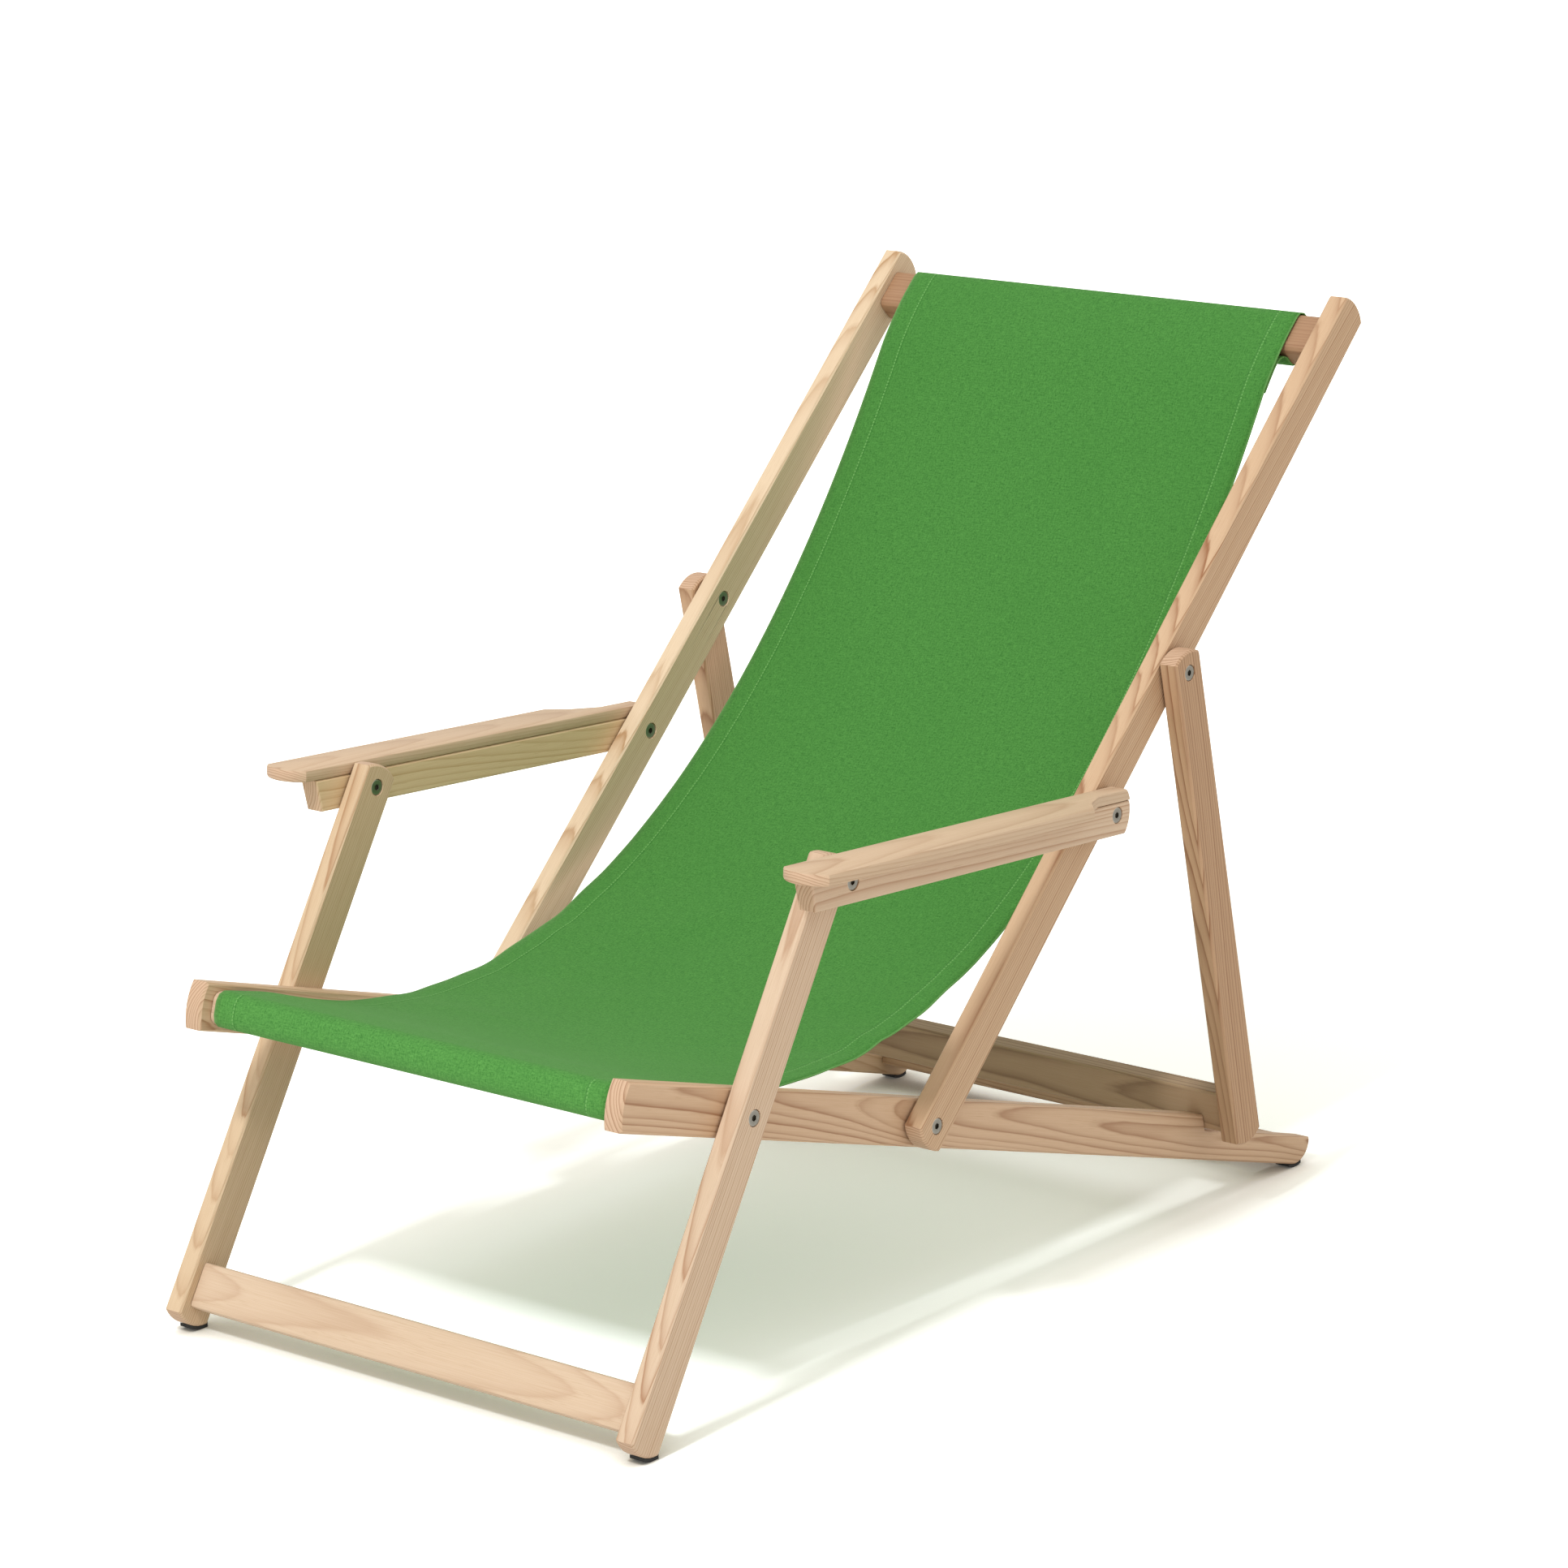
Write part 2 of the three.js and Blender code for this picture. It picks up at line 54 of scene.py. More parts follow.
# ---- node helpers ---------------------------------------------------------------------------------
class Tree:
    def __init__(self, name):
        self.mat = bpy.data.materials.new(name)
        self.mat.use_nodes = True
        self.t = self.mat.node_tree
        self.bsdf = self.t.nodes["Principled BSDF"]

    def put(self, kind, **inputs):
        n = self.t.nodes.new(kind)
        for k, v in inputs.items():
            self.wire(n, k, v)
        return n

    def wire(self, n, k, v):
        sock = n.inputs[int(k[1:])] if k[0] == "i" and k[1:].isdigit() else n.inputs[k.replace("_", " ")]
        if isinstance(v, bpy.types.NodeSocket):
            self.t.links.new(v, sock)
        elif isinstance(v, bpy.types.Node):
            self.t.links.new(v.outputs[0], sock)
        else:
            sock.default_value = v

    def math(self, op, a, b=0.0, c=None, clamp=False):
        n = self.t.nodes.new("ShaderNodeMath")
        n.operation = op
        n.use_clamp = clamp
        self.wire(n, "i0", a)
        self.wire(n, "i1", b)
        if c is not None:
            self.wire(n, "i2", c)
        return n.outputs[0]

    def vmath(self, op, a, b=(0, 0, 0)):
        n = self.t.nodes.new("ShaderNodeVectorMath")
        n.operation = op
        self.wire(n, "i0", a)
        if op == "SCALE":
            self.wire(n, "Scale", b)
        else:
            self.wire(n, "i1", b)
        return n

    def noise(self, vector, scale, detail=2.0, rough=0.5, distortion=0.0):
        n = self.t.nodes.new("ShaderNodeTexNoise")
        self.wire(n, "Vector", vector)
        n.inputs["Scale"].default_value = scale
        n.inputs["Detail"].default_value = detail
        n.inputs["Roughness"].default_value = rough
        n.inputs["Distortion"].default_value = distortion
        return n.outputs["Fac"]

    def ramp(self, value, stops):
        n = self.t.nodes.new("ShaderNodeValToRGB")
        self.wire(n, "Fac", value)
        el = n.color_ramp.elements
        while len(el) > 1:
            el.remove(el[-1])
        el[0].position = stops[0][0]
        c = stops[0][1]
        el[0].color = (c, c, c, 1) if isinstance(c, (int, float)) else (*c, 1)
        for pos, c in stops[1:]:
            e = el.new(pos)
            e.color = (c, c, c, 1) if isinstance(c, (int, float)) else (*c, 1)
        return n.outputs["Color"]

    def mix(self, fac, a, b, kind="MIX"):
        n = self.t.nodes.new("ShaderNodeMix")
        n.data_type = "RGBA"
        n.blend_type = kind
        n.clamp_factor = True
        self.wire(n, "i0", fac)
        for i, v in ((6, a), (7, b)):
            if isinstance(v, tuple) and len(v) == 3:
                v = (*v, 1)
            if isinstance(v, (bpy.types.NodeSocket, bpy.types.Node)):
                self.t.links.new(v if isinstance(v, bpy.types.NodeSocket) else v.outputs[0], n.inputs[i])
            else:
                n.inputs[i].default_value = v
        return n.outputs[2]

    def bump(self, height, strength, distance, normal=None):
        n = self.t.nodes.new("ShaderNodeBump")
        n.inputs["Strength"].default_value = strength
        n.inputs["Distance"].default_value = distance
        self.wire(n, "Height", height)
        if normal is not None:
            self.wire(n, "Normal", normal)
        return n.outputs[0]

    def done(self, **inputs):
        for k, v in inputs.items():
            self.wire(self.bsdf, k, v)
        return self.mat


def srgb(r, g, b):
    return tuple(((c / 255 + 0.055) / 1.055) ** 2.4 if c > 10 else c / 255 / 12.92 for c in (r, g, b))


def wood(name, origin, angle, along_x, seed, pith, lean=(0.0, 0.0), ring=0.0042, light=(214, 188, 160), dark=(166, 120, 86), strength=0.62, grey=0.0):
    """Ash: growth rings are cylinders round a pith line beside the board, so faces show arches or stripes and ends show arcs."""
    t = Tree(name)
    r = random.Random(seed)
    co = t.put("ShaderNodeTexCoord")
    local = t.vmath("SUBTRACT", co.outputs["Object"], (0, origin[0], origin[1]))
    rot = t.t.nodes.new("ShaderNodeVectorRotate")
    rot.rotation_type = "X_AXIS"
    t.wire(rot, "Vector", local)
    rot.inputs["Angle"].default_value = -math.radians(angle)
    sep = t.put("ShaderNodeSeparateXYZ", Vector=rot)
    if along_x:
        L, a, b = sep.outputs[0], sep.outputs[1], sep.outputs[2]
    else:
        L, a, b = sep.outputs[1], sep.outputs[0], sep.outputs[2]
    seedv = (r.uniform(-5, 5), r.uniform(-5, 5), r.uniform(-5, 5))
    grid = t.put("ShaderNodeCombineXYZ", X=L, Y=a, Z=b)
    slow = t.vmath("ADD", t.vmath("MULTIPLY", grid, (2.2, 7.0, 7.0)), seedv)
    drift = t.math("SUBTRACT", t.noise(slow, 1.0, 1.5, 0.5), 0.5)
    slow2 = t.vmath("ADD", t.vmath("MULTIPLY", grid, (1.6, 4.0, 4.0)), (seedv[2], seedv[0], seedv[1]))
    drift2 = t.math("SUBTRACT", t.noise(slow2, 1.0, 1.0, 0.5), 0.5)
    aa = t.math("ADD", t.math("SUBTRACT", a, pith[0]), t.math("ADD", t.math("MULTIPLY", L, lean[0]), t.math("MULTIPLY", drift, 0.022)))
    bb = t.math("ADD", t.math("SUBTRACT", b, pith[1]), t.math("ADD", t.math("MULTIPLY", L, lean[1]), t.math("MULTIPLY", drift2, 0.022)))
    rr = t.math("SQRT", t.math("ADD", t.math("MULTIPLY", aa, aa), t.math("MULTIPLY", bb, bb)))
    wob = t.noise(t.vmath("MULTIPLY", grid, (14.0, 120.0, 120.0)), 1.0, 2.0, 0.6)
    rr = t.math("ADD", rr, t.math("MULTIPLY", t.math("SUBTRACT", wob, 0.5), 0.0009))
    phase = t.math("ADD", t.math("DIVIDE", rr, ring), t.math("MULTIPLY", t.noise(t.put("ShaderNodeCombineXYZ", X=rr, Y=0.0, Z=0.0), 60.0, 1.0), 3.0))
    fr = t.math("FRACT", phase)
    late = t.ramp(fr, [(0.0, 0.30), (0.08, 0.0), (0.52, 0.12), (0.80, 0.50), (0.94, 1.0), (1.0, 0.35)])
    rank = t.math("FLOOR", phase)
    vary = t.put("ShaderNodeTexWhiteNoise")
    vary.noise_dimensions = "1D"
    t.wire(vary, "W", rank)
    each = t.math("ADD", 0.45, t.math("MULTIPLY", vary.outputs["Value"], 0.75))
    fibre_v = t.vmath("MULTIPLY", grid, (16.0, 1500.0, 1500.0))
    fibre = t.noise(fibre_v, 1.0, 3.0, 0.6)
    pore_v = t.vmath("ADD", t.vmath("MULTIPLY", grid, (55.0, 2400.0, 2400.0)), seedv)
    pore = t.ramp(t.noise(pore_v, 1.0, 1.0, 0.4), [(0.0, 0.0), (0.62, 0.0), (0.72, 1.0)])
    early = t.math("SUBTRACT", 1.0, t.ramp(fr, [(0.0, 0.0), (0.25, 0.2), (0.4, 1.0), (1.0, 1.0)]))
    tone = t.noise(t.vmath("ADD", t.vmath("MULTIPLY", grid, (1.5, 10.0, 10.0)), seedv), 1.0, 2.0)
    L1 = srgb(*light)
    D1 = srgb(*dark)
    base = t.mix(t.math("MULTIPLY", t.math("MULTIPLY", late, each), strength, clamp=True), L1, D1)
    base = t.mix(t.math("MULTIPLY", t.math("SUBTRACT", fibre, 0.40), 1.7, clamp=True), base, t.mix(1.0, base, (0.86, 0.80, 0.72), "MULTIPLY"))
    base = t.mix(t.math("MULTIPLY", t.math("MULTIPLY", pore, early), 0.42), base, t.mix(1.0, base, (0.66, 0.55, 0.42), "MULTIPLY"))
    base = t.mix(t.math("MULTIPLY", t.math("SUBTRACT", tone, 0.40), 0.9, clamp=True), base, t.mix(1.0, base, (0.93, 0.86, 0.78), "MULTIPLY"))
    # ends of the grain drink more oil: darker, with clear rings
    nrm = t.vmath("SUBTRACT", co.outputs["Normal"], (0, 0, 0))
    nrot = t.t.nodes.new("ShaderNodeVectorRotate")
    nrot.rotation_type = "X_AXIS"
    t.wire(nrot, "Vector", nrm)
    nrot.inputs["Angle"].default_value = -math.radians(angle)
    nsep = t.put("ShaderNodeSeparateXYZ", Vector=nrot)
    facing = t.math("ABSOLUTE", nsep.outputs[0] if along_x else nsep.outputs[1])
    end = t.ramp(facing, [(0.0, 0.0), (0.55, 0.0), (0.85, 1.0)])
    base = t.mix(t.math("MULTIPLY", end, 0.75), base, t.mix(t.math("MULTIPLY", late, 0.85, clamp=True), srgb(206, 172, 142), srgb(144, 100, 70)))
    if grey:
        base = t.mix(grey, base, srgb(176, 150, 118))
    rough = t.math("ADD", 0.50, t.math("MULTIPLY", fibre, 0.16))
    h = t.math("ADD", t.math("MULTIPLY", late, 0.5), t.math("ADD", t.math("MULTIPLY", fibre, 0.35), t.math("MULTIPLY", pore, -0.35)))
    return t.done(Base_Color=base, Roughness=rough, Normal=t.bump(h, 0.22, 0.0004), Specular_IOR_Level=0.32, Coat_Weight=0.06, Coat_Roughness=0.35)


def steel():
    t = Tree("stainless_steel")
    co = t.put("ShaderNodeTexCoord")
    n = t.noise(t.vmath("MULTIPLY", co.outputs["Object"], (300, 1400, 1400)), 1.0, 3.0, 0.6)
    smear = t.noise(co.outputs["Object"], 260.0, 2.0)
    geo = t.put("ShaderNodeNewGeometry")
    # painted highlight: sharp convex edges (high pointiness) get a light colour, standing in for the bright ring where
    # the head's chamfer catches the light
    painted_rim_highlight = t.ramp(geo.outputs["Pointiness"], [(0.0, 0.0), (0.505, 0.0), (0.54, 1.0)])
    col = t.mix(painted_rim_highlight, t.mix(smear, srgb(112, 106, 94), srgb(78, 73, 64)), srgb(206, 202, 192))
    rough = t.math("ADD", 0.24, t.math("MULTIPLY", n, 0.22))
    return t.done(Base_Color=col, Metallic=1.0, Roughness=rough, Normal=t.bump(n, 0.12, 0.0002))


def pad():
    t = Tree("black_pad")
    co = t.put("ShaderNodeTexCoord")
    n = t.noise(co.outputs["Object"], 900.0, 3.0, 0.6)
    col = t.mix(n, srgb(26, 26, 25), srgb(44, 43, 41))
    return t.done(Base_Color=col, Roughness=t.math("ADD", 0.6, t.math("MULTIPLY", n, 0.25)), Normal=t.bump(n, 0.3, 0.0003))


# ---- CAD nodes: finish and soft edges -------------------------------------------------------------
def soften(o, width=0.0006, limit=24):
    me = o.data
    if "custom_normal" in me.attributes:
        me.attributes.remove(me.attributes["custom_normal"])
    me.polygons.foreach_set("use_smooth", [True] * len(me.polygons))
    w = o.modifiers.new("weld", "WELD")
    w.merge_threshold = 2e-5
    b = o.modifiers.new("edge", "BEVEL")
    b.width = width
    b.segments = 2
    b.limit_method = "ANGLE"
    b.angle_limit = math.radians(limit)
    b.harden_normals = True


BOARDS = {
    # name: (origin, angle, along x, pith right, pith left, lean, ring, strength)
    "seat_rail": (B1, SEAT, False, (0.300, 0.012), (-0.190, -0.02), (0.028, 0.010), 0.0040, 0.80),
    "back_rail": (B4, BACK, False, (0.262, -0.060), (-0.274, -0.050), (0.010, 0.026), 0.0031, 0.98),
    "front_leg": (B1, LEG, False, (0.272, 0.056), (-0.262, 0.062), (0.004, 0.030), 0.0034, 0.78),
    "armrest_rail": (B2, ARM, False, (0.330, -0.030), (-0.345, 0.020), (0.010, 0.014), 0.0040, 0.72),
    "armrest_board": (B2, ARM, False, (0.300, -0.075), (-0.310, -0.070), (0.006, 0.020), 0.0036, 0.50),
    "prop_leg": (B5, PROP, False, (0.268, 0.070), (-0.300, 0.060), (0.012, 0.030), 0.0034, 0.98),
}
TONES = {
    "back_rail_right": dict(light=(206, 174, 140), dark=(152, 104, 68)),
    "prop_leg_right": dict(light=(190, 154, 120), dark=(134, 90, 58)),
    "prop_leg_left": dict(light=(206, 172, 138), dark=(154, 108, 74)),
    "back_rail_left": dict(light=(222, 198, 166), dark=(182, 144, 104)),
    "front_leg_left": dict(light=(213, 186, 152), dark=(172, 130, 92)),
    "seat_rail_right": dict(light=(210, 178, 146), dark=(152, 106, 72)),
    "armrest_board_right": dict(light=(207, 180, 150), dark=(160, 118, 84)),
    "armrest_board_left": dict(light=(207, 180, 150), dark=(160, 118, 84)),
    "armrest_rail_left": dict(light=(222, 196, 156), dark=(184, 146, 100)),
    "seat_rail_left": dict(light=(206, 176, 142), dark=(156, 112, 76)),
}
for name, (origin, angle, ax, right, left, lean, ring, strength) in BOARDS.items():
    for side, pith, k in (("right", right, 1), ("left", left, -1)):
        n = f"{name}_{side}"
        seed = sum(map(ord, n))
        tone = TONES.get(n, {})
        m = wood("ash_" + n, origin, angle, ax, seed, pith, (lean[0] * k, lean[1]), 0.78 * ring * (1 + 0.1 * k), strength=strength, **tone)
        o = nodes[n]
        o.data.materials.clear()
        o.data.materials.append(m)
        soften(o)
CROSS = {
    "sling_bar_front": (P(32.2, 302.0), SEAT, (0.05, 0.02), (0.0, 0.02), 0.0042, 0.4, {}),
    "rear_crossbar": (P(1000, 30), SEAT, (0.03, 0.05), (0.01, 0.02), 0.0042, 0.7, dict(light=(190, 158, 126), dark=(126, 86, 58))),
    "top_crossbar": (B4, BACK, (0.60, 0.08), (0.0, 0.03), 0.0046, 0.5, dict(light=(170, 132, 100), dark=(130, 88, 58))),
    "front_stretcher": (B1, LEG, (-0.265, -0.075), (0.012, 0.030), 0.0050, 0.42, {}),
    "prop_crossbar": (B5, PROP, (0.460, 0.080), (0.010, 0.012), 0.0052, 0.85, dict(light=(184, 154, 122), dark=(112, 78, 52))),
}
for name, (origin, angle, pith, lean, ring, strength, extra) in CROSS.items():
    m = wood("ash_" + name, origin, angle, True, sum(map(ord, name)), pith, lean, 0.78 * ring, strength=strength, **extra)
    o = nodes[name]
    o.data.materials.clear()
    o.data.materials.append(m)
    soften(o)
STEEL, PAD = steel(), pad()
for n, o in nodes.items():
    if n.endswith(("_screw_left", "_screw_right", "_nut_left", "_nut_right", "_washer_left", "_washer_right")):
        o.data.materials.clear()
        o.data.materials.append(STEEL)
        soften(o, 0.00025, 40)
    if "_pad_" in n:
        o.data.materials.clear()
        o.data.materials.append(PAD)
        soften(o, 0.0004, 40)


# ---- cloth ----------------------------------------------------------------------------------------
HALF = 0.231
HEM = 0.025


def frame_at(origin, angle):
    c, s = math.cos(math.radians(angle)), math.sin(math.radians(angle))
    return lambda a, p: (origin[0] + a * c - p * s, origin[1] + a * s + p * c)


def arc(cx, cy, r, a0, a1, n):
    return [(cx + r * math.cos(math.radians(a0 + (a1 - a0) * i / n)), cy + r * math.sin(math.radians(a0 + (a1 - a0) * i / n))) for i in range(n + 1)]


def side_line():
    """Middle line of the cloth in the side view and how firmly each stretch is held, from the hem under the seat to the hem behind the top bar."""
    off = 0.0012
    bar = frame_at(P(32.2, 302.0), SEAT)
    hb, vb, rb = 0.0145, 0.015, 0.009
    front = [bar(*q) for q in [(0.009, -vb - off)] + arc(-hb + rb, -vb + rb, rb + off, 270, 180, 8) + arc(-hb + rb, vb - rb, rb + off, 180, 90, 8)]
    hem = [P(*q) for q in [(110, 295.2), (92, 300.0), (75, 303.4), (62, 300.5), (50, 291.5)]]
    seat = [P(*q) for q in [(54.4, 313.2), (80, 307.0), (112, 298.8), (149.0, 289.6), (205, 276.2), (259.7, 266.2), (310, 264.6), (354.7, 267.1), (405, 275.5), (455, 288.7), (506.3, 306.2), (563.7, 334.4), (634.3, 381.4), (694.1, 430.4), (760, 492), (830.0, 568.5), (878, 631)]]
    top = frame_at(B4, BACK)
    o2 = off + 0.0012
    upper = [top(*q) for q in [(0.748, -0.0035), (0.790, 0.0036), (0.832, 0.0100), (0.867, 0.011 + o2)]]
    wrap = [top(*q) for q in arc(0.897, 0.004, 0.007 + o2, 90, 0, 7) + arc(0.897, -0.011, 0.007 + o2, 0, -90, 7) + arc(0.867, -0.011, 0.007 + off, 270, 180, 7) + [(0.860 - off, -0.001), (0.8555, 0.0040), (0.847, 0.0082), (0.832, 0.0072), (0.812, 0.0040)]]
    parts = [(hem, 1.0), (front, 1.0), (seat[:3], 1.0), (seat[3:], 0.0), (upper[:2], 0.0), (upper[2:], 1.0), (wrap, 1.0)]
    pts, hold = [], []
    for p, h in parts:
        pts += p
        hold += [h] * len(p)
    hold[len(hem) + len(front) + 1] = 0.6
    hold[len(hem) + len(front) + 2] = 0.2
    return np.array(pts), np.array(hold)


ROLL = (0.082, 0.130)  # where the cloth goes round the front bar, measured along it; this band gets a painted highlight in the canvas colour


def catmull(pts, hold, step):
    """Points spaced evenly along a smooth curve through pts."""
    out, oh = [], []
    n = len(pts)
    for i in range(n - 1):
        p0, p1, p2, p3 = pts[max(0, i - 1)], pts[i], pts[i + 1], pts[min(n - 1, i + 2)]
        d = [max(1e-6, np.linalg.norm(b - a)) ** 0.5 for a, b in ((p0, p1), (p1, p2), (p2, p3))]
        t0, t1 = 0.0, d[0]
        t2 = t1 + d[1]
        t3 = t2 + d[2]
        if i == 0:
            p0, t0 = p1 - (p2 - p1), t1 - d[1]
        if i == n - 2:
            p3, t3 = p2 + (p2 - p1), t2 + d[1]
        for k in range(12):
            t = t1 + (t2 - t1) * k / 12
            a1 = (t1 - t) / (t1 - t0) * p0 + (t - t0) / (t1 - t0) * p1
            a2 = (t2 - t) / (t2 - t1) * p1 + (t - t1) / (t2 - t1) * p2
            a3 = (t3 - t) / (t3 - t2) * p2 + (t - t2) / (t3 - t2) * p3
            b1 = (t2 - t) / (t2 - t0) * a1 + (t - t0) / (t2 - t0) * a2
            b2 = (t3 - t) / (t3 - t1) * a2 + (t - t1) / (t3 - t1) * a3
            out.append((t2 - t) / (t2 - t1) * b1 + (t - t1) / (t2 - t1) * b2)
            oh.append(hold[i] + (hold[i + 1] - hold[i]) * k / 12)
    out.append(pts[-1])
    oh.append(hold[-1])
    out, oh = np.array(out), np.array(oh)
    s = np.concatenate([[0], np.cumsum(np.linalg.norm(np.diff(out, axis=0), axis=1))])
    m = int(round(s[-1] / step))
    q = np.linspace(0, s[-1], m + 1)
    return np.stack([np.interp(q, s, out[:, 0]), np.interp(q, s, out[:, 1])], 1), np.interp(q, s, oh), q


def grid_mesh(name, co, nu, nv, uv):
    me = bpy.data.meshes.new(name)
    faces = [(j * nu + i, (j + 1) * nu + i, (j + 1) * nu + i + 1, j * nu + i + 1) for j in range(nv - 1) for i in range(nu - 1)]
    me.from_pydata([tuple(c) for c in co], [], faces)
    layer = me.uv_layers.new(name="UVMap")
    loops = np.zeros(len(me.loops), int)
    me.loops.foreach_get("vertex_index", loops)
    layer.data.foreach_set("uv", uv[loops].astype(np.float32).ravel())
    me.polygons.foreach_set("use_smooth", [True] * len(me.polygons))
    me.update()
    return me


line, hold, run = catmull(*side_line(), 0.0065)
NU = 53
xs = np.linspace(-HALF, HALF, NU)
NV = len(line)
co = np.zeros((NV, NU, 3))
co[:, :, 0] = xs[None, :]
co[:, :, 1] = line[:, 0][:, None]
co[:, :, 2] = line[:, 1][:, None]
uv = np.zeros((NV, NU, 2))
uv[:, :, 0] = xs[None, :] + HALF
uv[:, :, 1] = run[:, None]
ripple = rng.normal(0, 1, (7, 9))
free = 1 - np.clip(hold, 0, 1)
for a in range(7):
    for b in range(9):
        co[:, :, 2] += 0.00006 * ripple[a, b] * free[:, None] * np.sin(math.pi * (a + 1) * (xs[None, :] + HALF) / (2 * HALF) + b) * np.sin(math.pi * (b + 1) * run[:, None] / run[-1])
flat = co.reshape(-1, 3)
me = grid_mesh("sling_cloth", flat, NU, NV, uv.reshape(-1, 2))
cloth = bpy.data.objects.new("sling_cloth", me)
scene.collection.objects.link(cloth)
pins = cloth.vertex_groups.new(name="held")
for j in range(NV):
    w = float(np.clip(hold[j], 0, 1))
    if w > 0:
        pins.add(list(range(j * NU, (j + 1) * NU)), w, "REPLACE")
mod = cloth.modifiers.new("cloth", "CLOTH")
st = mod.settings
st.quality = 8
st.mass = 0.25
st.tension_stiffness = 120
st.compression_stiffness = 120
st.shear_stiffness = 60
st.bending_stiffness = 6
st.tension_damping = 25
st.compression_damping = 25
st.shear_damping = 25
st.bending_damping = 1
st.air_damping = 6
st.vertex_group_mass = "held"
st.pin_stiffness = 1
mod.collision_settings.use_collision = False
mod.collision_settings.use_self_collision = False
mod.point_cache.frame_start = 1
mod.point_cache.frame_end = 32
scene.frame_start, scene.frame_end = 1, 32
for f in range(1, 33):
    scene.frame_set(f)
dg = bpy.context.evaluated_depsgraph_get()
got = cloth.evaluated_get(dg).to_mesh()
settled = np.array([v.co for v in got.vertices], float)
cloth.evaluated_get(dg).to_mesh_clear()
cloth.modifiers.remove(mod)
scene.frame_set(1)
moved = np.linalg.norm(settled - flat, axis=1)
print("cloth moved", round(float(moved.max()) * 1000, 1), "mm at most, mean", round(float(moved.mean()) * 1000, 1))
me.vertices.foreach_set("co", settled.astype(np.float32).ravel())
me.update()


def canvas():
    t = Tree("green_canvas")
    co = t.put("ShaderNodeTexCoord")
    uvn = co.outputs["UV"]
    sep = t.put("ShaderNodeSeparateXYZ", Vector=uvn)
    u, v = sep.outputs[0], sep.outputs[1]
    # threads
    warp = t.math("SINE", t.math("MULTIPLY", u, 2 * math.pi / 0.00085))
    weft = t.math("SINE", t.math("MULTIPLY", v, 2 * math.pi / 0.00085))
    weave = t.math("MULTIPLY", warp, weft)
    slub = t.noise(t.vmath("MULTIPLY", uvn, (900.0, 110.0, 1.0)), 1.0, 3.0, 0.7)
    slub2 = t.noise(t.vmath("MULTIPLY", uvn, (110.0, 900.0, 1.0)), 1.0, 3.0, 0.7)
    heather = t.math("MULTIPLY", t.math("ADD", slub, slub2), 0.5)
    mottle = t.noise(t.vmath("MULTIPLY", uvn, (520.0, 520.0, 1.0)), 1.0, 4.0, 0.75)
    broad = t.noise(t.vmath("MULTIPLY", uvn, (9.0, 6.0, 1.0)), 1.0, 3.0, 0.5)
    col = t.mix(t.ramp(heather, [(0.35, 0.0), (0.65, 1.0)]), srgb(42, 100, 36), srgb(76, 138, 60))
    col = t.mix(t.math("MULTIPLY", t.ramp(mottle, [(0.40, 0.0), (0.70, 1.0)]), 0.45), col, srgb(100, 160, 80))
    col = t.mix(t.math("MULTIPLY", t.ramp(mottle, [(0.30, 1.0), (0.46, 0.0)]), 0.35), col, srgb(28, 78, 26))
    col = t.mix(t.math("MULTIPLY", t.math("SUBTRACT", broad, 0.45), 0.5, clamp=True), col, srgb(54, 116, 44))
    # painted highlight: the cloth where it rolls round the front bar is brightened in its colour, as if it faced the
    # lamp
    painted_roll_highlight = t.math("MULTIPLY", t.ramp(v, [(0.0, 0.0), (ROLL[0] - 0.004, 0.0), (ROLL[0] + 0.006, 1.0), (ROLL[1] - 0.004, 1.0), (ROLL[1] + 0.010, 0.0)]), 0.55)
    col = t.mix(painted_roll_highlight, col, t.mix(1.0, col, (1.55, 1.36, 1.55), "MULTIPLY"))
    # hem: inner fold line and its row of stitches, on both long edges
    inset = t.math("MINIMUM", u, t.math("SUBTRACT", 2 * HALF, u))
    hemmed = t.ramp(t.math("DIVIDE", inset, 0.05), [(0.0, 1.0), (HEM / 0.05 - 0.012, 1.0), (HEM / 0.05 + 0.004, 0.0)])
    line_ = t.ramp(t.math("DIVIDE", inset, 0.05), [(0.0, 0.0), (HEM / 0.05 - 0.045, 0.0), (HEM / 0.05 - 0.004, 1.0), (HEM / 0.05 + 0.02, 0.0)])
    row = t.ramp(t.math("DIVIDE", inset, 0.05), [(0.0, 0.0), ((HEM - 0.0028) / 0.05, 0.0), ((HEM - 0.0023) / 0.05, 1.0), ((HEM - 0.0015) / 0.05, 1.0), ((HEM - 0.0010) / 0.05, 0.0)])
    beat = t.math("FRACT", t.math("DIVIDE", v, 0.0034))
    dash = t.math("MULTIPLY", row, t.ramp(beat, [(0.0, 0.0), (0.12, 1.0), (0.62, 1.0), (0.74, 0.0)]))
    col = t.mix(t.math("MULTIPLY", line_, 0.30), col, srgb(40, 104, 36))
    col = t.mix(t.math("MULTIPLY", dash, 0.55), col, srgb(126, 180, 104))
    edge = t.ramp(t.math("DIVIDE", inset, 0.05), [(0.0, 1.0), (0.010, 1.0), (0.045, 0.0)])
    col = t.mix(t.math("MULTIPLY", edge, 0.35), col, srgb(142, 196, 118))
    h = t.math("ADD", t.math("MULTIPLY", weave, 0.35), t.math("ADD", t.math("MULTIPLY", heather, 0.9), t.math("MULTIPLY", dash, 0.9)))
    n1 = t.bump(h, 0.35, 0.0003)
    n2 = t.bump(hemmed, 0.6, 0.0008, n1)
    return t.done(Base_Color=col, Roughness=0.9, Sheen_Weight=0.25, Sheen_Roughness=0.5, Sheen_Tint=(*srgb(170, 220, 150), 1), Specular_IOR_Level=0.12, Normal=n2)


